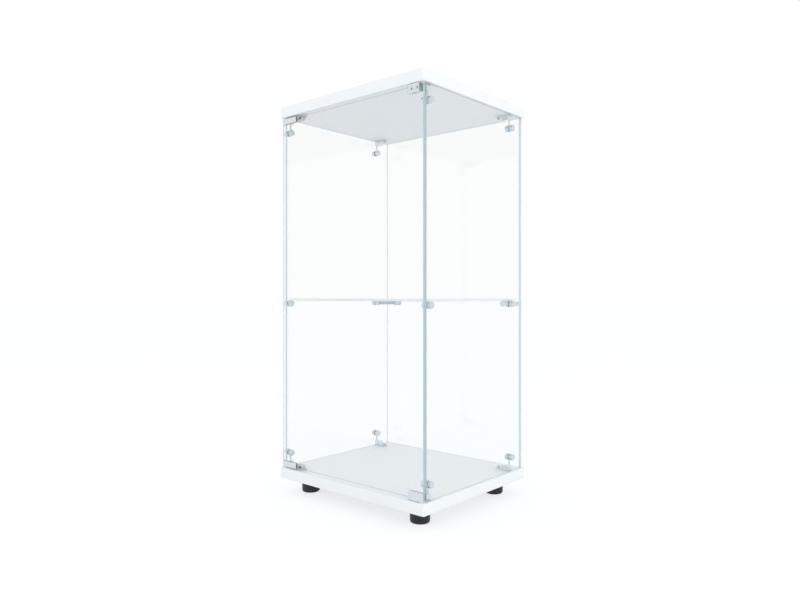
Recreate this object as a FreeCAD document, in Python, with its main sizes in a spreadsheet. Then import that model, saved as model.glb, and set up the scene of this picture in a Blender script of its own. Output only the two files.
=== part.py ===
import FreeCAD, Part
import Sketcher
import os
import re

# A glass display cabinet: two white boards on feet, clamped glass panes, a pivoting glass door and a shelf.

# Sizes in millimetres. The front faces -Y, the door hangs on the right, and the floor is Z = 0.
SIZES = {
    # Boards and feet
    "cabinet_width": 425,
    "cabinet_depth": 365,
    "clear_height": 800,
    "board_thickness": 24,
    "board_corner_radius": 4,
    "board_edge_radius": 1,
    "foot_height": 32,
    "foot_top_diameter": 42,
    "foot_bottom_diameter": 40,
    "foot_inset": 50,
    "foot_rim_radius": 4,
    "foot_recess_diameter": 14,
    "foot_recess_depth": 18,
    # Glass panes and the grooves that hold the three fixed ones
    "glass_thickness": 5,
    "glass_arris": 0.5,
    "glass_setback": 5,
    "groove_depth": 5,
    "groove_clearance": 0.3,
    "pane_gap": 1,
    "door_gap": 4.5,
    # Shelf
    "shelf_rise": 382,
    "shelf_side_gap": 3,
    "shelf_back_gap": 4,
    "shelf_front_setback": 12,
    "shelf_pad_thickness": 1,
    "shelf_pad_length": 4,
    "shelf_pad_width": 6,
    "shelf_pad_margin": 1.2,
    # Glass clamps: a chromed barrel on each side of the pane, drawn together by a bolt
    "clamp_diameter": 14,
    "clamp_length": 7.5,
    "back_cap_length": 4.5,
    "clamp_end_radius": 2,
    "clamp_seat_cut": 1,
    "clamp_gasket": 0.5,
    "clamp_rise": 32,
    "front_clamp_setback": 18.5,
    "rear_clamp_setback": 46,
    "back_clamp_inset": 40,
    "glass_hole_diameter": 7,
    "bolt_diameter": 5,
    "bolt_engagement": 5,
    "cap_engagement": 3,
    "bolt_tip_room": 0.5,
    "fit_clearance": 0.05,
    "passage_clearance": 0.2,
    # Brackets that carry the clamps on the boards, each with a strap that rises to its clamp
    "strap_thickness": 2,
    "strap_width": 4,
    "strap_eye_diameter": 12,
    "bracket_width": 12,
    "bracket_height": 13,
    "bracket_crest_radius": 3,
    "bracket_slope_run": 4,
    "bracket_tab_thickness": 5,
    "front_bracket_head": 5.5,
    "front_tab_gap": 0.5,
    "rear_bracket_head": 16,
    "rear_tab_gap": 5,
    # Wood screws
    "screw_diameter": 4,
    "screw_head_diameter": 8,
    "screw_head_top": 5,
    "screw_head_height": 2.5,
    "screw_bite": 12,
    "screw_tip_room": 1,
    "screw_slot_width": 1.2,
    "screw_slot_length": 4.4,
    "screw_slot_depth": 1.2,
    # Strips that tie the rear shelf clamps round the back corners
    "strip_thickness": 2,
    "strip_height": 10,
    "strip_end": 8,
    # Pivot hinges on the door
    "hinge_length": 36,
    "hinge_height": 17,
    "hinge_side_gap": 1.5,
    "hinge_clean_cheek": 2.5,
    "hinge_screw_cheek": 4,
    "hinge_web": 3,
    "hinge_gasket": 0.5,
    "hinge_end_radius": 2,
    "hinge_float": 0.3,
    "set_screw_diameter": 5,
    "set_screw_spacing": 14,
    "set_screw_margin": 4.5,
    "set_screw_rise": 9.5,
    "set_screw_socket_size": 2.5,
    "set_screw_socket_depth": 2,
    "pivot_inset": 4.5,
    "pivot_diameter": 4,
    "pivot_length": 9,
    "pivot_head_diameter": 6.5,
    "pivot_head_height": 1,
    "bush_diameter": 8,
    "bush_depth": 11,
    "bush_tip_room": 1,
    "bush_flange_diameter": 12,
    "bush_flange_thickness": 1,
    # Strike clips on the free edge of the door, and the magnetic catches behind them
    "strike_length": 46,
    "strike_height": 12,
    "strike_thickness": 1.5,
    "catch_bracket_gap": 1,
    "catch_gap": 0.3,
    "catch_length": 24,
    "catch_depth": 10,
    "catch_height": 12,
    "catch_end_radius": 3,
    "catch_ear_length": 10,
    "catch_ear_thickness": 4,
    "magnet_margin": 1,
    "magnet_length": 8,
    "magnet_depth": 7,
    "magnet_height": 9,
    "bumper_offset": 18,
    "bumper_diameter": 8,
    "bumper_depth": 6,
    "bumper_edge_radius": 1,
}

doc = FreeCAD.newDocument("display_cabinet")
sheet = doc.addObject("Spreadsheet::Sheet", "Sizes")
for row, (size_name, size_value) in enumerate(SIZES.items(), start=1):
    sheet.set(f"A{row}", size_name)
    sheet.set(f"B{row}", str(size_value))
    sheet.setAlias(f"B{row}", size_name)
doc.recompute()

X_AXIS = FreeCAD.Vector(1, 0, 0)
Y_AXIS = FreeCAD.Vector(0, 1, 0)
Z_AXIS = FreeCAD.Vector(0, 0, 1)
pieces = []


def bound(text):
    """Write an expression in size names the way the document reads it."""
    return re.sub(r"[a-z]\w+", lambda word: "Sizes." + word.group(), text)


def value(text):
    """The present value of an expression in size names."""
    return float(sheet.evalExpression(bound(text)))


def put(item, x="0", y="0", z="0", turn=None):
    """Place an object at a point given in size names, turned about an axis by an angle in degrees."""
    if turn:
        item.Placement = FreeCAD.Placement(FreeCAD.Vector(), FreeCAD.Rotation(*turn))
    for direction, text in zip("xyz", (x, y, z)):
        item.setExpression(f"Placement.Base.{direction}", bound(text))
    return item


def block(x, y, z):
    """A box between a low and a high place along each axis."""
    box = doc.addObject("Part::Box", "Block")
    for side, (low, high) in zip(("Length", "Width", "Height"), (x, y, z)):
        box.setExpression(side, bound(f"({high}) - ({low})"))
    return put(box, x[0], y[0], z[0])


def rod(axis, radius, length, x="0", y="0", z="0"):
    """A cylinder that starts at a point and runs along +X, +Y or +Z."""
    cylinder = doc.addObject("Part::Cylinder", "Rod")
    cylinder.setExpression("Radius", bound(radius))
    cylinder.setExpression("Height", bound(length))
    turns = {"X": (Y_AXIS, 90), "Y": (X_AXIS, -90), "Z": None}
    return put(cylinder, x, y, z, turns[axis])


def hexagon(across_flats, depth, x, y, z):
    """A hexagonal socket's space, running from a point along +Y."""
    prism_item = doc.addObject("Part::Prism", "Hexagon")
    prism_item.Polygon = 6
    prism_item.setExpression("Circumradius", bound(across_flats) + " / 2 / cos(30 deg)")
    prism_item.setExpression("Height", bound(depth))
    return put(prism_item, x, y, z, (X_AXIS, -90))


def joined(items):
    """Several solids made one."""
    if len(items) == 1:
        return items[0]
    fuse = doc.addObject("Part::MultiFuse", "Joined")
    fuse.Shapes = items
    return fuse


def cut(base, tools):
    """A solid with the space of the tools taken out of it."""
    result = doc.addObject("Part::Cut", "Cut")
    result.Base = base
    result.Tool = joined(tools)
    return result


def framed(item):
    """A primitive in a frame of its own, so that it can be placed again as a whole."""
    frame = doc.addObject("Part::Compound", "Framed")
    frame.Links = [item]
    return frame


def softened(kind, item, size, chosen=lambda edge: True):
    """An object with a fillet or chamfer along its chosen edges."""
    doc.recompute()
    amount = value(size)
    result = doc.addObject(f"Part::{kind}", kind)
    result.Base = item
    numbered = enumerate(item.Shape.Edges, start=1)
    result.Edges = [(number, amount, amount) for number, edge in numbered if chosen(edge)]
    return result


def runs_along(edge, axis):
    """Whether an edge is straight and parallel to an axis."""
    return isinstance(edge.Curve, Part.Line) and abs(edge.Curve.Direction.dot(axis)) > 0.999


def prism(plane_role, corners, length):
    """A body with a polygon section, drawn on one of its origin planes and padded from it."""
    body = doc.addObject("PartDesign::Body", "Body")
    sketch = body.newObject("Sketcher::SketchObject", "Section")
    plane = next(feature for feature in body.Origin.OriginFeatures if feature.Role == plane_role)
    sketch.AttachmentSupport = [(plane, "")]
    sketch.MapMode = "FlatFace"
    points = [FreeCAD.Vector(value(across), value(up), 0) for across, up in corners]
    for number, start in enumerate(points):
        sketch.addGeometry(Part.LineSegment(start, points[(number + 1) % len(points)]))
    for number, (across, up) in enumerate(corners):
        sketch.addConstraint(Sketcher.Constraint("Coincident", number, 2, (number + 1) % len(points), 1))
        for direction, text in (("DistanceX", across), ("DistanceY", up)):
            constraint = sketch.addConstraint(Sketcher.Constraint(direction, -1, 1, number, 1, value(text)))
            sketch.setExpression(f"Constraints[{constraint}]", bound(text))
    pad = body.newObject("PartDesign::Pad", "Pad")
    pad.Profile = sketch
    pad.setExpression("Length", bound(length))
    return body


def piece(label, item):
    """Name a finished piece; its name is its file's name."""
    item.Label = label
    pieces.append(item)
    return item


def group(label, items):
    """Identical small pieces that share a name, each still its own solid."""
    compound = doc.addObject("Part::Compound", "Group")
    compound.Links = items
    return piece(label, compound)


# Places that the pieces share, as expressions in size names
DECK = "(foot_height + board_thickness)"
CEILING = f"({DECK} + clear_height)"
SIDE_OUT = "(cabinet_width / 2 - glass_setback)"
SIDE_IN = f"({SIDE_OUT} - glass_thickness)"
END_OUT = "(cabinet_depth / 2 - glass_setback)"
BACK_IN = f"({END_OUT} - glass_thickness)"
PANE_HEIGHT = "(clear_height + 2 * groove_depth)"
PANE_FLOOR = f"({DECK} - groove_depth)"
DOOR_MIDDLE = f"(-{END_OUT} + glass_thickness / 2)"
PANE_FRONT = f"(-{BACK_IN} + door_gap)"
WEB_LOW = "(bush_flange_thickness + hinge_float)"
WEB_HIGH = f"({WEB_LOW} + hinge_web)"
DOOR_END_GAP = f"({WEB_HIGH} + hinge_gasket)"
PIVOT = f"({SIDE_OUT} - pivot_inset)"
FRONT_CLAMP = f"(-{END_OUT} + front_clamp_setback)"
REAR_CLAMP = f"({END_OUT} - rear_clamp_setback)"
BACK_CLAMP = f"({SIDE_IN} - back_clamp_inset)"
SHELF_CLAMP = f"({DECK} + shelf_rise - shelf_pad_thickness - clamp_diameter / 2 + clamp_seat_cut)"
STRAP_FACE = "(clamp_gasket + strap_thickness)"
STRIP_FACE = "(clamp_gasket + strip_thickness)"
BRACKET_SIDE = f"({SIDE_IN} - clamp_gasket)"
CATCH_FRONT = f"({DOOR_MIDDLE} + glass_thickness / 2 + strike_thickness + catch_gap)"
FOOT_X = "(cabinet_width / 2 - foot_inset)"
FOOT_Y = "(cabinet_depth / 2 - foot_inset)"

SIDES = {"left": -1, "right": 1}
ROWS = {"front": FRONT_CLAMP, "rear": REAR_CLAMP}
BRACKET_SCREWS = {
    row: f"({row}_bracket_head + bracket_slope_run + {row}_tab_gap + screw_head_diameter / 2)" for row in ROWS
}
CATCH_LEFT = f"(-{BRACKET_SIDE} + {BRACKET_SCREWS['front']} + bracket_width / 2 + catch_bracket_gap)"
CATCH_MIDDLE = f"({CATCH_LEFT} + catch_ear_length + catch_length / 2)"
CATCH_SCREW = "(catch_length / 2 + catch_ear_length - catch_depth / 2)"
SURFACES = {"lower": DECK, "upper": CEILING}
INWARD = {"lower": 1, "upper": -1}
HALF_TURN = {"lower": None, "upper": (Y_AXIS, 180)}
FLIP = {"lower": None, "upper": (X_AXIS, 180)}


def from_board(level, distance):
    """A height measured from the lower board upwards or from the upper board downwards."""
    return f"{SURFACES[level]} + {INWARD[level]} * ({distance})"


def outward(direction, near, far):
    """The low and high ends of a stretch that runs from near to far along +X or -X."""
    if direction > 0:
        return (near, far)
    return (f"-({far})", f"-({near})")


def wood_screw(length):
    """A pan-head screw with a cross slot: its head stands on Z = 0 and its shank runs down."""
    head = doc.addObject("Part::Cone", "Head")
    head.setExpression("Radius1", bound("screw_head_diameter / 2"))
    head.setExpression("Radius2", bound("screw_head_top / 2"))
    head.setExpression("Height", bound("screw_head_height"))
    shank = rod("Z", "screw_diameter / 2", length, z=f"-({length})")
    half_long = "screw_slot_length / 2"
    half_wide = "screw_slot_width / 2"
    depth = ("screw_head_height - screw_slot_depth", "screw_head_height")
    slots = [
        block((f"-{half_long}", half_long), (f"-{half_wide}", half_wide), depth),
        block((f"-{half_wide}", half_wide), (f"-{half_long}", half_long), depth),
    ]
    return cut(joined([head, shank]), slots)


# Boards: melamine-faced chipboard with softened edges, grooved for the fixed panes
def pilot(x, y, level):
    """A screw's hole in a board."""
    depth = "(screw_bite + screw_tip_room)"
    surface = {"lower": f"{DECK} - {depth}", "upper": CEILING}
    return rod("Z", "screw_diameter / 2 + fit_clearance", depth, x, y, surface[level])


def board(level):
    """One board, with the grooves, pivot hole and screw holes of its inner face."""
    base = {"lower": "foot_height", "upper": CEILING}[level]
    slab = block(
        ("-cabinet_width / 2", "cabinet_width / 2"),
        ("-cabinet_depth / 2", "cabinet_depth / 2"),
        (base, f"{base} + board_thickness"),
    )
    slab = softened("Fillet", slab, "board_corner_radius", lambda edge: runs_along(edge, Z_AXIS))
    slab = softened("Fillet", slab, "board_edge_radius", lambda edge: not runs_along(edge, Z_AXIS))
    groove = {"lower": (PANE_FLOOR, DECK), "upper": (CEILING, f"{CEILING} + groove_depth")}[level]
    length = (f"{PANE_FRONT} - groove_clearance", f"{END_OUT} + groove_clearance")
    tools = [block((f"-{SIDE_IN}", SIDE_IN), (f"{BACK_IN} - groove_clearance", length[1]), groove)]
    for side in SIDES.values():
        across = outward(side, f"{SIDE_IN} - groove_clearance", f"{SIDE_OUT} + groove_clearance")
        tools.append(block(across, length, groove))
    bush_hole = {"lower": f"{DECK} - bush_depth - bush_tip_room", "upper": CEILING}[level]
    tools.append(rod("Z", "bush_diameter / 2 + fit_clearance", "bush_depth + bush_tip_room",
                     PIVOT, DOOR_MIDDLE, bush_hole))
    for side in SIDES.values():
        for row_name, row in ROWS.items():
            tools.append(pilot(f"{side} * ({BRACKET_SIDE} - {BRACKET_SCREWS[row_name]})", row, level))
    for end in (-1, 1):
        screw_x = f"{CATCH_MIDDLE} + {end} * {CATCH_SCREW}"
        tools.append(pilot(screw_x, f"{CATCH_FRONT} + catch_depth / 2", level))
    if level == "lower":
        for side in SIDES.values():
            for end in (-1, 1):
                tools.append(rod("Z", "screw_diameter / 2 + fit_clearance", "screw_bite + screw_tip_room",
                                 f"{side} * {FOOT_X}", f"{end} * {FOOT_Y}", "foot_height"))
    return cut(slab, tools)


piece("bottom_board", board("lower"))
piece("top_board", board("upper"))


# Feet: black moulded plastic, each held by one screw driven up from its recess
def foot():
    """A round foot that narrows a little towards the floor."""
    body = doc.addObject("Part::Cone", "Foot")
    body.setExpression("Radius1", bound("foot_bottom_diameter / 2"))
    body.setExpression("Radius2", bound("foot_top_diameter / 2"))
    body.setExpression("Height", bound("foot_height"))
    middle = value("foot_height / 2")
    rim = softened("Fillet", body, "foot_rim_radius", lambda edge: edge.BoundBox.ZMax < middle)
    recess = rod("Z", "foot_recess_diameter / 2", "foot_recess_depth")
    passage = rod("Z", "screw_diameter / 2 + passage_clearance", "foot_height")
    return cut(rim, [recess, passage])


foot_screws = []
for end_name, end in (("front", -1), ("rear", 1)):
    for side_name, side in SIDES.items():
        foot_x = f"{side} * {FOOT_X}"
        foot_y = f"{end} * {FOOT_Y}"
        piece(f"foot_{end_name}_{side_name}", put(foot(), foot_x, foot_y))
        screw = wood_screw("foot_height - foot_recess_depth + screw_bite")
        foot_screws.append(put(screw, foot_x, foot_y, "foot_recess_depth", (X_AXIS, 180)))
group("foot_screws", foot_screws)


# Panes: clear float glass with ground edges; the sides and back stand in the grooves
def pane(x, y, z, holes=()):
    """A sheet of glass with a small arris all round, drilled where clamps pass through."""
    sheet_of_glass = softened("Chamfer", block(x, y, z), "glass_arris")
    return cut(sheet_of_glass, list(holes)) if holes else sheet_of_glass


def pane_hole(wall, along, height):
    """A clamp's hole through a fixed pane."""
    radius = "glass_hole_diameter / 2"
    if wall == "back":
        return rod("Y", radius, "glass_thickness", along, BACK_IN, height)
    start = {"left": f"-{SIDE_OUT}", "right": SIDE_IN}[wall]
    return rod("X", radius, "glass_thickness", start, along, height)


fixed_height = (PANE_FLOOR, f"{PANE_FLOOR} + {PANE_HEIGHT}")
for side_name, side in SIDES.items():
    side_holes = []
    for row in ROWS.values():
        side_holes.append(pane_hole(side_name, row, SHELF_CLAMP))
        for level in SURFACES:
            side_holes.append(pane_hole(side_name, row, from_board(level, "clamp_rise")))
    thickness = outward(side, SIDE_IN, SIDE_OUT)
    piece(f"{side_name}_side_panel", pane(thickness, (PANE_FRONT, END_OUT), fixed_height, side_holes))
back_holes = [pane_hole("back", f"{side} * {BACK_CLAMP}", SHELF_CLAMP) for side in SIDES.values()]
back_width = (f"-{SIDE_IN} + pane_gap", f"{SIDE_IN} - pane_gap")
piece("back_panel", pane(back_width, (BACK_IN, END_OUT), fixed_height, back_holes))
piece("door_panel", pane(
    (f"-{SIDE_OUT}", SIDE_OUT),
    (f"-{END_OUT}", f"-{BACK_IN}"),
    (f"{DECK} + {DOOR_END_GAP}", f"{CEILING} - {DOOR_END_GAP}"),
))
shelf_bottom = f"{DECK} + shelf_rise"
piece("shelf", pane(
    (f"-{SIDE_IN} + shelf_side_gap", f"{SIDE_IN} - shelf_side_gap"),
    (f"-{END_OUT} + shelf_front_setback", f"{BACK_IN} - shelf_back_gap"),
    (shelf_bottom, f"{shelf_bottom} + glass_thickness"),
))


# Brackets: chromed castings that rise to the clamps in a strap and reach into the cabinet in a rounded tab
def bracket(row_name):
    """A bracket in its own frame: X = 0 is against the washer on the glass, and its tab reaches along +X."""
    head = f"{row_name}_bracket_head"
    tab_end = BRACKET_SCREWS[row_name]
    section = [
        ("0", "0"),
        ("0", "bracket_height"),
        (head, "bracket_height"),
        (f"{head} + bracket_slope_run", "bracket_tab_thickness"),
        (tab_end, "bracket_tab_thickness"),
        (tab_end, "0"),
    ]
    base = put(prism("XZ_Plane", section, "bracket_width"), y="bracket_width / 2")
    above_tab = value("(bracket_height + bracket_tab_thickness) / 2")
    base = softened("Fillet", base, "bracket_crest_radius", lambda edge: (
        runs_along(edge, Y_AXIS) and edge.CenterOfMass.x > 0 and edge.CenterOfMass.z > above_tab
    ))
    solids = [
        base,
        rod("Z", "bracket_width / 2", "bracket_tab_thickness", tab_end),
        block(("0", "strap_thickness"), ("-strap_width / 2", "strap_width / 2"), ("0", "clamp_rise")),
        rod("X", "strap_eye_diameter / 2", "strap_thickness", z="clamp_rise"),
    ]
    return cut(joined(solids), [
        rod("X", "bolt_diameter / 2 + passage_clearance", "strap_thickness", z="clamp_rise"),
        rod("Z", "screw_diameter / 2 + passage_clearance", "bracket_tab_thickness", tab_end),
    ])


BRACKET_TURNS = {
    ("lower", "left"): None,
    ("lower", "right"): (Z_AXIS, 180),
    ("upper", "left"): (X_AXIS, 180),
    ("upper", "right"): (Y_AXIS, 180),
}
bracket_screws = []
for level, surface in SURFACES.items():
    for row_name, row in ROWS.items():
        for side_name, side in SIDES.items():
            turn = BRACKET_TURNS[level, side_name]
            casting = put(bracket(row_name), f"{side} * {BRACKET_SIDE}", row, surface, turn)
            piece(f"{level}_{row_name}_{side_name}_bracket", casting)
            bracket_screws.append(put(
                wood_screw("bracket_tab_thickness + screw_bite"),
                f"{side} * ({BRACKET_SIDE} - {BRACKET_SCREWS[row_name]})",
                row,
                from_board(level, "bracket_tab_thickness"),
                turn,
            ))
group("bracket_screws", bracket_screws)


# Glass clamps: a barrel inside, a cap outside and a headless bolt through the pane, with soft washers on the
# glass
def barrel(length, engagement):
    """A barrel that runs along +X from the glass, rounded at its free end, with a blind hole for the bolt."""
    solid = rod("X", "clamp_diameter / 2", length)
    solid = softened("Fillet", solid, "clamp_end_radius", lambda edge: edge.BoundBox.XMin > value(length) / 2)
    return cut(solid, [rod("X", "bolt_diameter / 2 + fit_clearance", f"{engagement} + bolt_tip_room")])


def shelf_barrel():
    """The inner half of a clamp that carries the shelf on a flat along its top."""
    half = "clamp_diameter / 2"
    flat = block(("0", "clamp_length"), (f"-{half}", half), (f"{half} - clamp_seat_cut", half))
    return cut(barrel("clamp_length", "bolt_engagement"), [flat])


def bolt(packing):
    """A headless bolt along +X, from inside its cap through the glass and any packing into the
    inner barrel.
    """
    grip = f"2 * clamp_gasket + glass_thickness + {packing}"
    return framed(rod("X", "bolt_diameter / 2", f"cap_engagement + {grip} + bolt_engagement"))


def washer():
    """A clear soft washer along +X between a barrel and the glass."""
    disc = rod("X", "clamp_diameter / 2", "clamp_gasket")
    return cut(disc, [rod("X", "bolt_diameter / 2 + passage_clearance", "clamp_gasket")])


def on_wall(item, wall, along, height, depth, outside=False):
    """Set a clamp's piece on a wall: depth is measured into the cabinet from the wall's inner face."""
    turn = {"left": 0, "right": 180, "back": -90}[wall] + (180 if outside else 0)
    if wall == "back":
        return put(item, along, f"{BACK_IN} - ({depth})", height, (Z_AXIS, turn))
    return put(item, f"{SIDES[wall]} * ({SIDE_IN} - ({depth}))", along, height, (Z_AXIS, turn))


caps = {"left": [], "right": [], "back": []}
bolts = []
washers = []


def outer_half(wall, along, height, packing):
    """The cap, bolt and washers of a clamp; the back's caps are short, to let the cabinet stand to a wall."""
    length = "back_cap_length" if wall == "back" else "clamp_length"
    outer_face = "-glass_thickness - clamp_gasket"
    outer_barrel = barrel(length, "cap_engagement")
    caps[wall].append(on_wall(outer_barrel, wall, along, height, outer_face, outside=True))
    bolts.append(on_wall(bolt(packing), wall, along, height, f"{outer_face} - cap_engagement"))
    washers.append(on_wall(washer(), wall, along, height, outer_face))
    washers.append(on_wall(washer(), wall, along, height, "0"))


for level in SURFACES:
    for row_name, row in ROWS.items():
        for side_name in SIDES:
            height = from_board(level, "clamp_rise")
            inner_barrel = barrel("clamp_length", "bolt_engagement")
            inner_half = on_wall(inner_barrel, side_name, row, height, STRAP_FACE)
            piece(f"{level}_{row_name}_{side_name}_clamp", inner_half)
            outer_half(side_name, row, height, "strap_thickness")


# Shelf clamps: one at each front corner, and two at each back corner tied by a strip round the inside
def shelf_pad():
    """A clear pad on the flat of a shelf clamp, towards its free end."""
    end = "clamp_length - shelf_pad_margin"
    seat = "clamp_diameter / 2 - clamp_seat_cut"
    return framed(block(
        (f"{end} - shelf_pad_length", end),
        ("-shelf_pad_width / 2", "shelf_pad_width / 2"),
        (seat, f"{seat} + shelf_pad_thickness"),
    ))


pads = []
for side_name, side in SIDES.items():
    back_x = f"{side} * {BACK_CLAMP}"
    stations = {
        f"shelf_clamp_front_{side_name}": (side_name, FRONT_CLAMP, "clamp_gasket", "0"),
        f"shelf_clamp_rear_{side_name}": (side_name, REAR_CLAMP, STRIP_FACE, "strip_thickness"),
        f"shelf_clamp_back_{side_name}": ("back", back_x, STRIP_FACE, "strip_thickness"),
    }
    for label, (wall, along, depth, packing) in stations.items():
        piece(label, on_wall(shelf_barrel(), wall, along, SHELF_CLAMP, depth))
        pads.append(on_wall(shelf_pad(), wall, along, SHELF_CLAMP, depth))
        outer_half(wall, along, SHELF_CLAMP, packing)
    corner_x = f"({SIDE_IN} - clamp_gasket)"
    corner_y = f"({BACK_IN} - clamp_gasket)"
    plan = [
        (f"{side} * {corner_x}", f"{REAR_CLAMP} - strip_end"),
        (f"{side} * {corner_x}", corner_y),
        (f"{side} * ({BACK_CLAMP} - strip_end)", corner_y),
        (f"{side} * ({BACK_CLAMP} - strip_end)", f"{corner_y} - strip_thickness"),
        (f"{side} * ({corner_x} - strip_thickness)", f"{corner_y} - strip_thickness"),
        (f"{side} * ({corner_x} - strip_thickness)", f"{REAR_CLAMP} - strip_end"),
    ]
    strip = put(prism("XY_Plane", plan, "strip_height"), z=f"{SHELF_CLAMP} - strip_height / 2")
    bolt_room = "bolt_diameter / 2 + passage_clearance"
    strip_holes = [
        on_wall(framed(rod("X", bolt_room, STRIP_FACE)), side_name, REAR_CLAMP, SHELF_CLAMP, "0"),
        on_wall(framed(rod("X", bolt_room, STRIP_FACE)), "back", back_x, SHELF_CLAMP, "0"),
    ]
    piece(f"{side_name}_corner_strip", cut(strip, strip_holes))
group("shelf_pads", pads)
for wall, wall_caps in caps.items():
    group(f"{wall}_outer_caps", wall_caps)
group("clamp_bolts", bolts)
group("clamp_washers", washers)


# Pivot hinges: the same casting below and above, the upper one turned over so that its screws face out
HALF_GRIP = "(glass_thickness / 2 + hinge_gasket)"
HALF_GLASS = "(glass_thickness / 2)"
HINGE_RIM = f"({WEB_LOW} + hinge_height)"
HINGE_LEFT = f"({SIDE_OUT} - hinge_length)"
GRIP_LENGTH = "(hinge_length - glass_thickness - hinge_side_gap)"
SET_SCREWS = [f"({GRIP_LENGTH} - set_screw_margin - {number} * set_screw_spacing)" for number in (1, 0)]


def hinge_clip():
    """A channel that grips the door's corner, in a frame whose origin is its left end at the board's face.

    Its thick cheek, which may lie behind the door, stops short of the side pane; its web runs on.
    """
    clean = f"-({HALF_GRIP} + hinge_clean_cheek)"
    screwed = f"({HALF_GRIP} + hinge_screw_cheek)"
    section = [
        (clean, WEB_LOW),
        (screwed, WEB_LOW),
        (screwed, HINGE_RIM),
        (HALF_GRIP, HINGE_RIM),
        (HALF_GRIP, WEB_HIGH),
        (f"-{HALF_GRIP}", WEB_HIGH),
        (f"-{HALF_GRIP}", HINGE_RIM),
        (clean, HINGE_RIM),
    ]
    channel = prism("YZ_Plane", section, "hinge_length")
    near_glass = (value(f"-{HALF_GRIP}"), value(HALF_GRIP))
    channel = softened("Fillet", channel, "hinge_end_radius", lambda edge: (
        runs_along(edge, Z_AXIS) and not near_glass[0] - 0.1 < edge.CenterOfMass.y < near_glass[1] + 0.1
    ))
    pivot_x = "hinge_length - pivot_inset"
    holes = [
        block((GRIP_LENGTH, "hinge_length"), (HALF_GRIP, screwed), (WEB_LOW, HINGE_RIM)),
        rod("Z", "pivot_diameter / 2 + fit_clearance", "hinge_web", pivot_x, "0", WEB_LOW),
        rod("Z", "pivot_head_diameter / 2 + fit_clearance", "pivot_head_height",
            pivot_x, "0", f"{WEB_HIGH} - pivot_head_height"),
    ]
    for screw_x in SET_SCREWS:
        holes.append(rod("Y", "set_screw_diameter / 2 + fit_clearance", "hinge_screw_cheek",
                         screw_x, HALF_GRIP, f"{WEB_LOW} + set_screw_rise"))
    return cut(channel, holes)


def hinge_lining():
    """The soft channel between a hinge and the glass."""
    section = [
        (f"-{HALF_GRIP}", WEB_HIGH),
        (HALF_GRIP, WEB_HIGH),
        (HALF_GRIP, HINGE_RIM),
        (HALF_GLASS, HINGE_RIM),
        (HALF_GLASS, DOOR_END_GAP),
        (f"-{HALF_GLASS}", DOOR_END_GAP),
        (f"-{HALF_GLASS}", HINGE_RIM),
        (f"-{HALF_GRIP}", HINGE_RIM),
    ]
    return prism("YZ_Plane", section, GRIP_LENGTH)


def set_screw(screw_x):
    """A headless socket screw that presses the lining from the thick cheek."""
    rise = f"{WEB_LOW} + set_screw_rise"
    shank = rod("Y", "set_screw_diameter / 2", "hinge_screw_cheek", screw_x, HALF_GRIP, rise)
    socket_floor = f"{HALF_GRIP} + hinge_screw_cheek - set_screw_socket_depth"
    socket = hexagon("set_screw_socket_size", "set_screw_socket_depth", screw_x, socket_floor, rise)
    return cut(shank, [socket])


def pivot_pin():
    """A steel pin let into the hinge's web and running down into the board's bush."""
    shank = rod("Z", "pivot_diameter / 2", f"pivot_length + {WEB_HIGH}", z="-pivot_length")
    head = rod("Z", "pivot_head_diameter / 2", "pivot_head_height", z=f"{WEB_HIGH} - pivot_head_height")
    return joined([shank, head])


def pivot_bush():
    """A flanged plastic bush sunk in the board; its flange carries the door."""
    sleeve = rod("Z", "bush_diameter / 2", "bush_depth", z="-bush_depth")
    flange = rod("Z", "bush_flange_diameter / 2", "bush_flange_thickness")
    height = "bush_depth + bush_flange_thickness"
    bore = rod("Z", "pivot_diameter / 2 + fit_clearance", height, z="-bush_depth")
    return cut(joined([sleeve, flange]), [bore])


set_screws = []
for level, surface in SURFACES.items():
    turn = FLIP[level]
    piece(f"{level}_hinge_clip", put(hinge_clip(), HINGE_LEFT, DOOR_MIDDLE, surface, turn))
    piece(f"{level}_pivot_bush", put(pivot_bush(), PIVOT, DOOR_MIDDLE, surface, turn))
    piece(f"{level}_hinge_lining", put(hinge_lining(), HINGE_LEFT, DOOR_MIDDLE, surface, turn))
    piece(f"{level}_pivot_pin", put(pivot_pin(), PIVOT, DOOR_MIDDLE, surface, turn))
    for screw_x in SET_SCREWS:
        set_screws.append(put(set_screw(screw_x), HINGE_LEFT, DOOR_MIDDLE, surface, turn))
group("hinge_set_screws", set_screws)


# Strike clips: folded steel over the door's free corners, drawn in by the catches
def strike_clip():
    """A thin channel on the door's edge, in a frame whose origin is its left end at the board's face."""
    fold = f"({DOOR_END_GAP} - strike_thickness)"
    rim = f"({fold} + strike_height)"
    outside = f"({HALF_GLASS} + strike_thickness)"
    section = [
        (f"-{outside}", fold),
        (outside, fold),
        (outside, rim),
        (HALF_GLASS, rim),
        (HALF_GLASS, DOOR_END_GAP),
        (f"-{HALF_GLASS}", DOOR_END_GAP),
        (f"-{HALF_GLASS}", rim),
        (f"-{outside}", rim),
    ]
    return prism("YZ_Plane", section, "strike_length")


for level, surface in SURFACES.items():
    piece(f"{level}_strike_clip", put(strike_clip(), f"-{SIDE_OUT}", DOOR_MIDDLE, surface, FLIP[level]))


# Magnetic catches: a housing on each board with a magnet behind the strike, a rubber door buffer and two ears
MAGNET_MIDDLE = "(magnet_margin + magnet_length / 2 - catch_length / 2)"
MAGNET_RISE = "((catch_height - magnet_height) / 2)"
BUMPER_MIDDLE = "(bumper_offset - catch_length / 2)"


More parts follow.
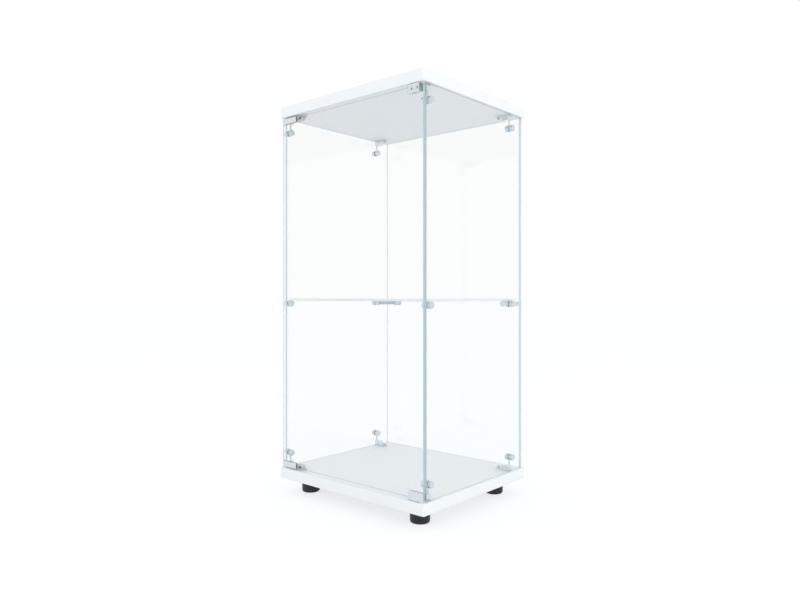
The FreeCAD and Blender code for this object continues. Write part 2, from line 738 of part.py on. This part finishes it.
def catch(direction):
    """A catch's housing, centred along X with its front at Y = 0; the upper one is turned end for end."""
    half = "catch_length / 2"
    solid = block((f"-{half}", half), ("0", "catch_depth"), ("0", "catch_height"))
    solids = [softened("Fillet", solid, "catch_end_radius", lambda edge: (
        runs_along(edge, Y_AXIS) and edge.CenterOfMass.z > value("catch_height / 2")
    ))]
    bumper_x = f"{direction} * {BUMPER_MIDDLE}"
    holes = [
        magnet(direction, "fit_clearance"),
        rod("Y", "bumper_diameter / 2 + fit_clearance", "bumper_depth", bumper_x, z="catch_height / 2"),
    ]
    for end in (-1, 1):
        screw_x = f"{end} * {CATCH_SCREW}"
        ear = outward(end, half, CATCH_SCREW)
        solids.append(block(ear, ("0", "catch_depth"), ("0", "catch_ear_thickness")))
        solids.append(rod("Z", "catch_depth / 2", "catch_ear_thickness", screw_x, "catch_depth / 2"))
        passage = "screw_diameter / 2 + passage_clearance"
        holes.append(rod("Z", passage, "catch_ear_thickness", screw_x, "catch_depth / 2"))
    return cut(joined(solids), holes)


def magnet(direction, room="0"):
    """A block magnet, flush with the front of its housing, or with some room round it its pocket."""
    half = f"(magnet_length / 2 + {room})"
    middle = f"{direction} * {MAGNET_MIDDLE}"
    return framed(block(
        (f"{middle} - {half}", f"{middle} + {half}"),
        ("0", f"magnet_depth + {room}"),
        (f"{MAGNET_RISE} - {room}", f"{MAGNET_RISE} + magnet_height + {room}"),
    ))


def bumper(direction):
    """A rubber buffer that stands out of the housing to just short of the closed door."""
    plug = rod("Y", "bumper_diameter / 2", "bumper_depth + strike_thickness",
               f"{direction} * {BUMPER_MIDDLE}", "-strike_thickness", "catch_height / 2")
    return softened("Fillet", plug, "bumper_edge_radius", lambda edge: edge.BoundBox.YMax < 0)


magnets = []
bumpers = []
catch_screws = []
for level, surface in SURFACES.items():
    turn = HALF_TURN[level]
    direction = INWARD[level]
    piece(f"{level}_catch", put(catch(direction), CATCH_MIDDLE, CATCH_FRONT, surface, turn))
    magnets.append(put(magnet(direction), CATCH_MIDDLE, CATCH_FRONT, surface, turn))
    bumpers.append(put(bumper(direction), CATCH_MIDDLE, CATCH_FRONT, surface, turn))
    for end in (-1, 1):
        catch_screws.append(put(
            wood_screw("catch_ear_thickness + screw_bite"),
            f"{CATCH_MIDDLE} + {end} * {CATCH_SCREW}",
            f"{CATCH_FRONT} + catch_depth / 2",
            from_board(level, "catch_ear_thickness"),
            turn,
        ))
group("catch_magnets", magnets)
group("catch_bumpers", bumpers)
group("catch_screws", catch_screws)


doc.recompute()
failed = [item.Name for item in doc.Objects if {"Invalid", "Error"} & set(item.State)]
if failed:
    raise RuntimeError(f"objects that failed to build: {failed}")
for item in pieces:
    if item.Shape.isNull() or not item.Shape.isValid():
        raise RuntimeError(f"{item.Label} has no valid shape")
os.makedirs("parts", exist_ok=True)
for item in pieces:
    item.Shape.exportStep(f"parts/{item.Label}.step")
print(len(pieces), "pieces")
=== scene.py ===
import math

import bpy
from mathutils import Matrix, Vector


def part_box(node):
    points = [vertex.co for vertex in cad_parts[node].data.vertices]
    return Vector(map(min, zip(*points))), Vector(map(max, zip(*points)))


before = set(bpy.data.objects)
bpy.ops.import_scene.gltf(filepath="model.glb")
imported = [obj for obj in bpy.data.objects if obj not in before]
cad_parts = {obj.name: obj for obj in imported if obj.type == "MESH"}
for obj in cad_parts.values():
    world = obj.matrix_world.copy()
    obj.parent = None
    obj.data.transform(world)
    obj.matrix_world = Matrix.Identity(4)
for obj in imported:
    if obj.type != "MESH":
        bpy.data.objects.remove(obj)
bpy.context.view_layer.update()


# Bottom and top boards: 24 mm chipboard faced with white melamine paper and edged all round with a thin
# plastic tape of the same white. Both are grooved for the panes and drilled for the fittings.
def linear(hex_colour):
    """A colour written as sRGB hex, as linear red, green, blue and alpha."""
    channels = [int(hex_colour[start:start + 2], 16) / 255 for start in (1, 3, 5)]
    return [c / 12.92 if c <= 0.04045 else ((c + 0.055) / 1.055) ** 2.4 for c in channels] + [1.0]


def per_mm(size):
    """The texture scale at which one feature of a pattern is this many millimetres wide."""
    return 1000.0 / size


def add(tree, kind, inputs=None, **settings):
    """Add a node with its settings; each input is a value, or a socket of an earlier node to link."""
    node = tree.nodes.new("ShaderNode" + kind)
    for name, setting in settings.items():
        setattr(node, name, setting)
    for key, given in (inputs or {}).items():
        if isinstance(given, bpy.types.NodeSocket):
            tree.links.new(given, node.inputs[key])
        else:
            node.inputs[key].default_value = given
    return node


def new_material(name):
    """An empty node material, and its output node."""
    material = bpy.data.materials.new(name)
    material.use_nodes = True
    material.node_tree.nodes.clear()
    return material, add(material.node_tree, "OutputMaterial")


def finish_with(material, *node_names):
    """Give CAD nodes a material."""
    for node_name in node_names:
        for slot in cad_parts[node_name].material_slots:
            slot.material = material


# Melamine is paper pressed under resin against a polished plate: an even satin white with a very faint
# cloudiness, an orange peel that softens reflections, and a hairline of glue where the edging tape meets
# the face.
melamine, melamine_output = new_material("white_melamine_pressed_satin")
tree = melamine.node_tree
place = add(tree, "TexCoord").outputs["Object"]
cloud = add(tree, "TexNoise", {"Vector": place, "Scale": per_mm(55), "Detail": 3.0})
white = add(tree, "Mix", {0: cloud.outputs["Fac"], 6: linear("#EFF2F4"), 7: linear("#F5F7F8")},
            data_type="RGBA")
board_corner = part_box("bottom_board")[1]
across = add(tree, "SeparateXYZ", {0: add(tree, "VectorMath", {0: place}, operation="ABSOLUTE").outputs[0]})
to_side = add(tree, "Math", {0: board_corner.x, 1: across.outputs["X"]}, operation="SUBTRACT")
to_end = add(tree, "Math", {0: board_corner.y, 1: across.outputs["Y"]}, operation="SUBTRACT")
to_rim = add(tree, "Math", {0: to_side.outputs[0], 1: to_end.outputs[0]}, operation="MINIMUM")
# The glue line is a fifth of this width on the real board; it is drawn wider so that it shows at all.
tape_depth = 0.0016
glue_half_width = 0.0003
glue_line = add(tree, "Math", {0: to_rim.outputs[0], 1: tape_depth, 2: glue_half_width}, operation="COMPARE")
faced = add(tree, "Mix", {0: glue_line.outputs[0], 6: white.outputs[2], 7: linear("#DCE1E3")},
            data_type="RGBA")
satin = add(tree, "MapRange", {"Value": cloud.outputs["Fac"], "To Min": 0.34, "To Max": 0.44})
# Real orange peel is about a millimetre across; it is drawn at three so that it shows in the reflections.
peel = add(tree, "TexNoise", {"Vector": place, "Scale": per_mm(3), "Detail": 1.0})
dimpled = add(tree, "Bump", {"Strength": 0.12, "Distance": 0.0002, "Height": peel.outputs["Fac"]})
melamine_face = add(tree, "BsdfPrincipled", {
    "Base Color": faced.outputs[2], "Roughness": satin.outputs[0], "IOR": 1.55, "Normal": dimpled.outputs[0],
})
tree.links.new(melamine_face.outputs[0], melamine_output.inputs["Surface"])
finish_with(melamine, "bottom_board", "top_board")


# Feet: four black plastic pucks, moulded with a sunk hole underneath for the screw that holds each to the
# board. Moulded polypropylene has a dull spark-eroded grain and small differences of gloss from touch.
foot_plastic, foot_plastic_output = new_material("black_polypropylene_moulded_grain")
tree = foot_plastic.node_tree
place = add(tree, "TexCoord").outputs["Object"]
# The grain is about half a millimetre on the real feet, and is drawn at 1.2 so that it shows.
grain = add(tree, "TexVoronoi", {"Vector": place, "Scale": per_mm(1.2)})
touch = add(tree, "TexNoise", {"Vector": place, "Scale": per_mm(14), "Detail": 4.0})
black = add(tree, "Mix", {0: touch.outputs["Fac"], 6: linear("#0B0D10"), 7: linear("#14171A")},
            data_type="RGBA")
gloss = add(tree, "MapRange", {"Value": touch.outputs["Fac"], "To Min": 0.38, "To Max": 0.6})
grained = add(tree, "Bump", {"Strength": 0.25, "Distance": 0.0002, "Height": grain.outputs["Distance"]})
foot_face = add(tree, "BsdfPrincipled", {
    "Base Color": black.outputs[2], "Roughness": gloss.outputs[0], "IOR": 1.49, "Normal": grained.outputs[0],
})
tree.links.new(foot_face.outputs[0], foot_plastic_output.inputs["Surface"])
finish_with(foot_plastic, "foot_front_left", "foot_front_right", "foot_rear_left", "foot_rear_right")


# Fixings: the foot screws, bracket screws, catch screws, clamp bolts, hinge set screws and pivot pins are
# steel, rolled or turned and then barrel-plated with zinc. Bright zinc has a cool grey sheen, broken into
# a fine spangle and rubbed duller where parts tumbled together.
zinc, zinc_output = new_material("zinc_plated_steel_barrel_plated")
tree = zinc.node_tree
place = add(tree, "TexCoord").outputs["Object"]
spangle = add(tree, "TexVoronoi", {"Vector": place, "Scale": per_mm(1.5)})
rubbed = add(tree, "TexNoise", {"Vector": place, "Scale": per_mm(4), "Detail": 5.0})
plate = add(tree, "Mix", {0: spangle.outputs["Distance"], 6: linear("#A9AEB3"), 7: linear("#BBC0C4")},
            data_type="RGBA")
dulled = add(tree, "MapRange", {"Value": rubbed.outputs["Fac"], "To Min": 0.2, "To Max": 0.42})
zinc_face = add(tree, "BsdfPrincipled", {
    "Base Color": plate.outputs[2], "Metallic": 1.0, "Roughness": dulled.outputs[0],
})
tree.links.new(zinc_face.outputs[0], zinc_output.inputs["Surface"])
finish_with(
    zinc, "foot_screws", "bracket_screws", "catch_screws", "clamp_bolts", "hinge_set_screws",
    "lower_pivot_pin", "upper_pivot_pin",
)


# Fixed panes, door and shelf: 5 mm clear float glass, cut, drilled where a clamp passes through, and
# ground along every edge. The fixed panes stand in the boards' grooves, the door hangs in its hinges, the
# shelf lies on pads.
def edged_glass(name, thickness_axis, edge_colours):
    """Clear glass whose faces lie square to one axis; every other surface of the pane is a worked edge."""
    glass, glass_output = new_material(name)
    tree = glass.node_tree
    texture = add(tree, "TexCoord")
    facing = add(tree, "VectorMath", {0: texture.outputs["Normal"]}, operation="ABSOLUTE")
    along = add(tree, "SeparateXYZ", {0: facing.outputs[0]}).outputs[thickness_axis]
    edge = add(tree, "Math", {0: along, 1: 0.9}, operation="LESS_THAN").outputs[0]
    # Float glass is drawn out in one direction, which leaves a trace of streaks in its faint green.
    streak_scale = (per_mm(25), per_mm(25), per_mm(330))
    streaks = add(tree, "Mapping", {"Vector": texture.outputs["Object"], "Scale": streak_scale})
    drawn = add(tree, "TexNoise", {"Vector": streaks.outputs[0], "Scale": 1.0, "Detail": 2.0})
    clear = add(tree, "Mix", {0: drawn.outputs["Fac"], 6: linear("#FCFDFD"), 7: linear("#FEFEFE")},
                data_type="RGBA")
    # Wheel marks of the grinding are some tenths of a millimetre; they are drawn at 2 mm so that they show.
    wheel = add(tree, "TexNoise", {"Vector": texture.outputs["Object"], "Scale": per_mm(2), "Detail": 3.0})
    dark_edge, pale_edge = (linear(edge_colour) for edge_colour in edge_colours)
    ground = add(tree, "Mix", {0: wheel.outputs["Fac"], 6: dark_edge, 7: pale_edge}, data_type="RGBA")
    colour = add(tree, "Mix", {0: edge, 6: clear.outputs[2], 7: ground.outputs[2]}, data_type="RGBA")
    frost = add(tree, "MapRange", {"Value": wheel.outputs["Fac"], "To Min": 0.28, "To Max": 0.45})
    roughness = add(tree, "Math", {0: edge, 1: frost.outputs[0]}, operation="MULTIPLY")
    through = add(tree, "MapRange", {"Value": edge, "To Min": 1.0, "To Max": 0.2})
    pane = add(tree, "BsdfPrincipled", {
        "Base Color": colour.outputs[2], "Roughness": roughness.outputs[0], "IOR": 1.52,
        "Transmission Weight": through.outputs[0],
    })
    # Light goes through the panes as it would through air, so that what stands inside is lit.
    open_air = add(tree, "BsdfTransparent", {"Color": linear("#FDFEFE")})
    ray = add(tree, "LightPath")
    for_light = add(tree, "Math", {0: ray.outputs["Is Shadow Ray"], 1: ray.outputs["Is Diffuse Ray"]},
                    operation="MAXIMUM")
    surface = add(tree, "MixShader", {0: for_light.outputs[0], 1: pane.outputs[0], 2: open_air.outputs[0]})
    tree.links.new(surface.outputs[0], glass_output.inputs["Surface"])
    return glass


ground_edges = ("#B9CDD2", "#CDDCE0")
side_glass = edged_glass("float_glass_side_panes_ground_edges", "X", ground_edges)
front_glass = edged_glass("float_glass_back_and_door_ground_edges", "Y", ground_edges)
shelf_glass = edged_glass("float_glass_shelf_polished_edges", "Z", ("#E9EFF0", "#F2F6F7"))
finish_with(side_glass, "left_side_panel", "right_side_panel")
finish_with(front_glass, "back_panel", "door_panel")
finish_with(shelf_glass, "shelf")


# Brackets, hinges and corner strips: zinc castings and pressed strip, polished and chromed. A bracket is
# screwed to its board and its strap rises to a clamp; a hinge grips a corner of the door between two
# cheeks. Chrome over a casting mirrors its surroundings in a cool grey, a little wavy, with a haze from
# handling.
chrome, chrome_output = new_material("bright_chrome_on_zinc_casting")
tree = chrome.node_tree
place = add(tree, "TexCoord").outputs["Object"]
handled = add(tree, "TexNoise", {"Vector": place, "Scale": per_mm(9), "Detail": 4.0})
haze = add(tree, "MapRange", {"Value": handled.outputs["Fac"], "To Min": 0.08, "To Max": 0.22})
mirror = add(tree, "Mix", {0: handled.outputs["Fac"], 6: linear("#CFD8DE"), 7: linear("#DCE3E8")},
             data_type="RGBA")
cast = add(tree, "TexNoise", {"Vector": place, "Scale": per_mm(5), "Detail": 1.0})
wavy = add(tree, "Bump", {"Strength": 0.15, "Distance": 0.0003, "Height": cast.outputs["Fac"]})
chrome_face = add(tree, "BsdfPrincipled", {
    "Base Color": mirror.outputs[2], "Metallic": 1.0, "Roughness": haze.outputs[0], "Normal": wavy.outputs[0],
})
tree.links.new(chrome_face.outputs[0], chrome_output.inputs["Surface"])
corners = [f"{level}_{row}_{side}" for level in ("lower", "upper") for row in ("front", "rear")
           for side in ("left", "right")]
finish_with(chrome, *(f"{corner}_bracket" for corner in corners))
finish_with(chrome, "lower_hinge_clip", "upper_hinge_clip", "left_corner_strip", "right_corner_strip")


# Pane clamps: short barrels turned from bar and chromed, one inside each pane and a cap outside, drawn
# together by a headless bolt. Those half way up have a flat on which the shelf lies. The lathe leaves
# fine rings round each barrel, which stretch its reflections along the axis.
def turned_chrome(name, axis):
    """Chrome over a barrel turned about an axis."""
    barrel, barrel_output = new_material(name)
    tree = barrel.node_tree
    place = add(tree, "TexCoord").outputs["Object"]
    # Turning rings are a tenth of a millimetre apart; they are drawn at 0.8 mm so that they show. A wave
    # texture of scale 1 repeats every twentieth of a turn in radians.
    rings = add(tree, "TexWave", {"Vector": place, "Scale": per_mm(0.8) * math.tau / 20, "Distortion": 0.4},
                wave_type="BANDS", bands_direction=axis)
    handled = add(tree, "TexNoise", {"Vector": place, "Scale": per_mm(7), "Detail": 4.0})
    haze = add(tree, "MapRange", {"Value": handled.outputs["Fac"], "To Min": 0.1, "To Max": 0.24})
    mirror = add(tree, "Mix", {0: handled.outputs["Fac"], 6: linear("#CAD4DB"), 7: linear("#D9E0E6")},
                 data_type="RGBA")
    ringed = add(tree, "Bump", {"Strength": 0.08, "Distance": 0.0001, "Height": rings.outputs["Fac"]})
    face = add(tree, "BsdfPrincipled", {
        "Base Color": mirror.outputs[2], "Metallic": 1.0, "Roughness": haze.outputs[0],
        "Normal": ringed.outputs[0],
    })
    tree.links.new(face.outputs[0], barrel_output.inputs["Surface"])
    return barrel


side_barrel = turned_chrome("bright_chrome_on_turned_side_barrels", "X")
back_barrel = turned_chrome("bright_chrome_on_turned_back_barrels", "Y")
finish_with(side_barrel, *(f"{corner}_clamp" for corner in corners))
finish_with(
    side_barrel, "shelf_clamp_front_left", "shelf_clamp_front_right", "shelf_clamp_rear_left",
    "shelf_clamp_rear_right", "left_outer_caps", "right_outer_caps",
)
finish_with(back_barrel, "shelf_clamp_back_left", "shelf_clamp_back_right", "back_outer_caps")


# Washers, shelf pads and hinge linings: soft clear vinyl, stamped or extruded, put wherever metal would
# meet glass. Plasticised vinyl is milky, and lets some light through with a soft waxy gloss.
vinyl, vinyl_output = new_material("clear_vinyl_stamped")
tree = vinyl.node_tree
place = add(tree, "TexCoord").outputs["Object"]
milky = add(tree, "TexNoise", {"Vector": place, "Scale": per_mm(3), "Detail": 3.0})
waxy = add(tree, "MapRange", {"Value": milky.outputs["Fac"], "To Min": 0.25, "To Max": 0.45})
pale = add(tree, "Mix", {0: milky.outputs["Fac"], 6: linear("#DDE4E3"), 7: linear("#EBF0EF")},
           data_type="RGBA")
vinyl_face = add(tree, "BsdfPrincipled", {
    "Base Color": pale.outputs[2], "Roughness": waxy.outputs[0], "IOR": 1.53, "Transmission Weight": 0.5,
})
tree.links.new(vinyl_face.outputs[0], vinyl_output.inputs["Surface"])
finish_with(vinyl, "clamp_washers", "shelf_pads", "lower_hinge_lining", "upper_hinge_lining")


# Pivot bushes: flanged nylon sleeves pressed into the boards, in which the door's steel pivots turn.
# Natural nylon is a warm translucent white, slightly marbled by the moulding flow.
nylon, nylon_output = new_material("natural_nylon_moulded")
tree = nylon.node_tree
place = add(tree, "TexCoord").outputs["Object"]
flow = add(tree, "TexNoise", {"Vector": place, "Scale": per_mm(4), "Detail": 3.0, "Distortion": 1.0})
warm = add(tree, "Mix", {0: flow.outputs["Fac"], 6: linear("#E4E2DA"), 7: linear("#EFEDE6")},
           data_type="RGBA")
slick = add(tree, "MapRange", {"Value": flow.outputs["Fac"], "To Min": 0.3, "To Max": 0.42})
nylon_face = add(tree, "BsdfPrincipled", {
    "Base Color": warm.outputs[2], "Roughness": slick.outputs[0], "IOR": 1.53, "Subsurface Weight": 0.2,
    "Subsurface Scale": 0.001,
})
tree.links.new(nylon_face.outputs[0], nylon_output.inputs["Surface"])
finish_with(nylon, "lower_pivot_bush", "upper_pivot_bush")


# Strike clips: folded strips of sheet steel, plated with dull nickel, pushed over the door's free corners
# so that the magnets behind have something to hold. Rolled sheet keeps fine lines along its length under
# the plate, which draw its reflections into a vertical blur.
nickel, nickel_output = new_material("dull_nickel_on_rolled_steel")
tree = nickel.node_tree
place = add(tree, "TexCoord").outputs["Object"]
# Its dull plate scatters some light, so it is a little less than fully metallic.
# Rolling lines are a tenth of a millimetre apart; they are drawn at 0.6 mm so that they show.
stretched = add(tree, "Mapping", {"Vector": place, "Scale": (per_mm(30), per_mm(0.6), per_mm(0.6))})
rolled = add(tree, "TexNoise", {"Vector": stretched.outputs[0], "Scale": 1.0, "Detail": 2.0})
dull = add(tree, "MapRange", {"Value": rolled.outputs["Fac"], "To Min": 0.26, "To Max": 0.4})
strip_colour = add(tree, "Mix", {0: rolled.outputs["Fac"], 6: linear("#D3DADF"), 7: linear("#E1E7EA")},
                   data_type="RGBA")
lined = add(tree, "Bump", {"Strength": 0.06, "Distance": 0.0001, "Height": rolled.outputs["Fac"]})
nickel_face = add(tree, "BsdfPrincipled", {
    "Base Color": strip_colour.outputs[2], "Metallic": 0.75, "Roughness": dull.outputs[0],
    "Normal": lined.outputs[0],
})
tree.links.new(nickel_face.outputs[0], nickel_output.inputs["Surface"])
finish_with(nickel, "lower_strike_clip", "upper_strike_clip")


# Catches: grey moulded housings screwed to the boards behind the strikes by an ear at each end.
# Moulded ABS has a fine even texture and a soft sheen.
housing, housing_output = new_material("grey_abs_moulded")
tree = housing.node_tree
place = add(tree, "TexCoord").outputs["Object"]
# The mould texture is about 0.3 mm, and is drawn at 0.8 so that it shows.
texture = add(tree, "TexNoise", {"Vector": place, "Scale": per_mm(0.8), "Detail": 2.0})
grey = add(tree, "Mix", {0: texture.outputs["Fac"], 6: linear("#B9C0C4"), 7: linear("#C8CED1")},
           data_type="RGBA")
sheen = add(tree, "MapRange", {"Value": texture.outputs["Fac"], "To Min": 0.35, "To Max": 0.5})
textured = add(tree, "Bump", {"Strength": 0.15, "Distance": 0.0001, "Height": texture.outputs["Fac"]})
housing_face = add(tree, "BsdfPrincipled", {
    "Base Color": grey.outputs[2], "Roughness": sheen.outputs[0], "IOR": 1.53, "Normal": textured.outputs[0],
})
tree.links.new(housing_face.outputs[0], housing_output.inputs["Surface"])
finish_with(housing, "lower_catch", "upper_catch")


# Catch magnets: pressed ferrite blocks held in the housings, flush with the face that meets the strike.
# Ferrite is a sintered ceramic: dark grey, dull and slightly pitted.
ferrite, ferrite_output = new_material("ferrite_sintered")
tree = ferrite.node_tree
place = add(tree, "TexCoord").outputs["Object"]
pits = add(tree, "TexNoise", {"Vector": place, "Scale": per_mm(1), "Detail": 4.0})
dark = add(tree, "Mix", {0: pits.outputs["Fac"], 6: linear("#3B3C3F"), 7: linear("#4C4D50")},
           data_type="RGBA")
matt = add(tree, "MapRange", {"Value": pits.outputs["Fac"], "To Min": 0.55, "To Max": 0.75})
pitted = add(tree, "Bump", {"Strength": 0.3, "Distance": 0.0002, "Height": pits.outputs["Fac"]})
ferrite_face = add(tree, "BsdfPrincipled", {
    "Base Color": dark.outputs[2], "Roughness": matt.outputs[0], "Normal": pitted.outputs[0],
})
tree.links.new(ferrite_face.outputs[0], ferrite_output.inputs["Surface"])
finish_with(ferrite, "catch_magnets")


# Catch bumpers: round black rubber buffers let into the ends of the catches, which stop the door softly.
# Moulded rubber is deep black and dull, with a trace of bloom.
rubber, rubber_output = new_material("black_rubber_moulded")
tree = rubber.node_tree
place = add(tree, "TexCoord").outputs["Object"]
bloom = add(tree, "TexNoise", {"Vector": place, "Scale": per_mm(2.5), "Detail": 4.0})
deep = add(tree, "Mix", {0: bloom.outputs["Fac"], 6: linear("#151516"), 7: linear("#262728")},
           data_type="RGBA")
soft = add(tree, "MapRange", {"Value": bloom.outputs["Fac"], "To Min": 0.6, "To Max": 0.8})
rubber_face = add(tree, "BsdfPrincipled", {
    "Base Color": deep.outputs[2], "Roughness": soft.outputs[0], "IOR": 1.52,
})
tree.links.new(rubber_face.outputs[0], rubber_output.inputs["Surface"])
finish_with(rubber, "catch_bumpers")


# Floor: a plain white studio floor. What looks at it sees white with the cabinet's soft shadow, and the
# light it throws back on the cabinet is that of matt white paper.
floor_mesh = bpy.data.meshes.new("studio_floor")
floor_mesh.from_pydata([(-30, -30, 0), (30, -30, 0), (30, 30, 0), (-30, 30, 0)], [], [(0, 1, 2, 3)])
floor = bpy.data.objects.new("studio_floor", floor_mesh)
bpy.context.scene.collection.objects.link(floor)
paper, paper_output = new_material("matt_white_paper")
tree = paper.node_tree
matt_paper = add(tree, "BsdfDiffuse", {"Color": linear("#F0F1F2")})
shadowed = add(tree, "BsdfDiffuse", {"Color": linear("#9A9C9E")})
glow = add(tree, "Emission", {"Color": linear("#FFFFFF"), "Strength": 0.71})
seen_paper = add(tree, "AddShader", {0: shadowed.outputs[0], 1: glow.outputs[0]})
ray = add(tree, "LightPath")
direct = add(tree, "Math", {0: ray.outputs["Is Camera Ray"], 1: ray.outputs["Is Glossy Ray"]},
             operation="MAXIMUM")
looking = add(tree, "Math", {0: direct.outputs[0], 1: ray.outputs["Is Transmission Ray"]},
              operation="MAXIMUM")
floor_look = add(tree, "MixShader", {
    0: looking.outputs[0], 1: matt_paper.outputs[0], 2: seen_paper.outputs[0],
})
tree.links.new(floor_look.outputs[0], paper_output.inputs["Surface"])
floor_mesh.materials.append(paper)


# Studio: white walls all round that give an even, slightly cool light, dimmer from the ceiling, with one
# large soft lamp at the right and a weaker one at the left.
world = bpy.data.worlds.new("white_studio")
world.use_nodes = True
tree = world.node_tree
tree.nodes.clear()
ray = add(tree, "LightPath")
direct = add(tree, "Math", {0: ray.outputs["Is Camera Ray"], 1: ray.outputs["Is Glossy Ray"]},
             operation="MAXIMUM")
looking = add(tree, "Math", {0: direct.outputs[0], 1: ray.outputs["Is Transmission Ray"]},
              operation="MAXIMUM")
height = add(tree, "SeparateXYZ", {0: add(tree, "TexCoord").outputs["Generated"]}).outputs["Z"]
dimmed = add(tree, "MapRange", {"Value": height, "To Min": 1.42, "To Max": 0.66})
light = add(tree, "Background", {"Color": linear("#FBFDFF"), "Strength": dimmed.outputs[0]})
backdrop = add(tree, "Background", {"Color": linear("#FFFFFF"), "Strength": 1.0})
studio = add(tree, "MixShader", {0: looking.outputs[0], 1: light.outputs[0], 2: backdrop.outputs[0]})
tree.links.new(studio.outputs[0], add(tree, "OutputWorld").inputs["Surface"])
bpy.context.scene.world = world

middle = Vector((0.0, 0.0, 0.45))
for lamp_name, place, width, power in (
    ("right_softbox", (2.4, -0.6, 0.6), 1.1, 6.5),
    ("left_softbox", (-1.2, -2.6, 1.6), 1.8, 3.5),
):
    lamp = bpy.data.lights.new(lamp_name, "AREA")
    lamp.shape = "SQUARE"
    lamp.size = width
    lamp.energy = power
    softbox = bpy.data.objects.new(lamp_name, lamp)
    softbox.location = place
    softbox.visible_glossy = False
    softbox.visible_transmission = False
    softbox.rotation_euler = (middle - softbox.location).to_track_quat("-Z", "Y").to_euler()
    bpy.context.scene.collection.objects.link(softbox)


# Camera: level, at half the cabinet's height, 1.54 m from its upright axis and 41 degrees round to the
# right.
azimuth = math.radians(41.017)
camera_data = bpy.data.cameras.new("camera")
camera_data.sensor_width = 36.0
camera_data.lens = 30.25
camera_data.shift_x = -0.0026
camera_data.shift_y = -0.0053
camera = bpy.data.objects.new("camera", camera_data)
distance = 1.5424
eye_height = 0.4491
camera.location = (distance * math.sin(azimuth), -distance * math.cos(azimuth), eye_height)
camera.rotation_euler = (math.radians(90), 0.0, azimuth)
bpy.context.scene.collection.objects.link(camera)
bpy.context.scene.camera = camera
bpy.context.scene.view_settings.view_transform = "Standard"
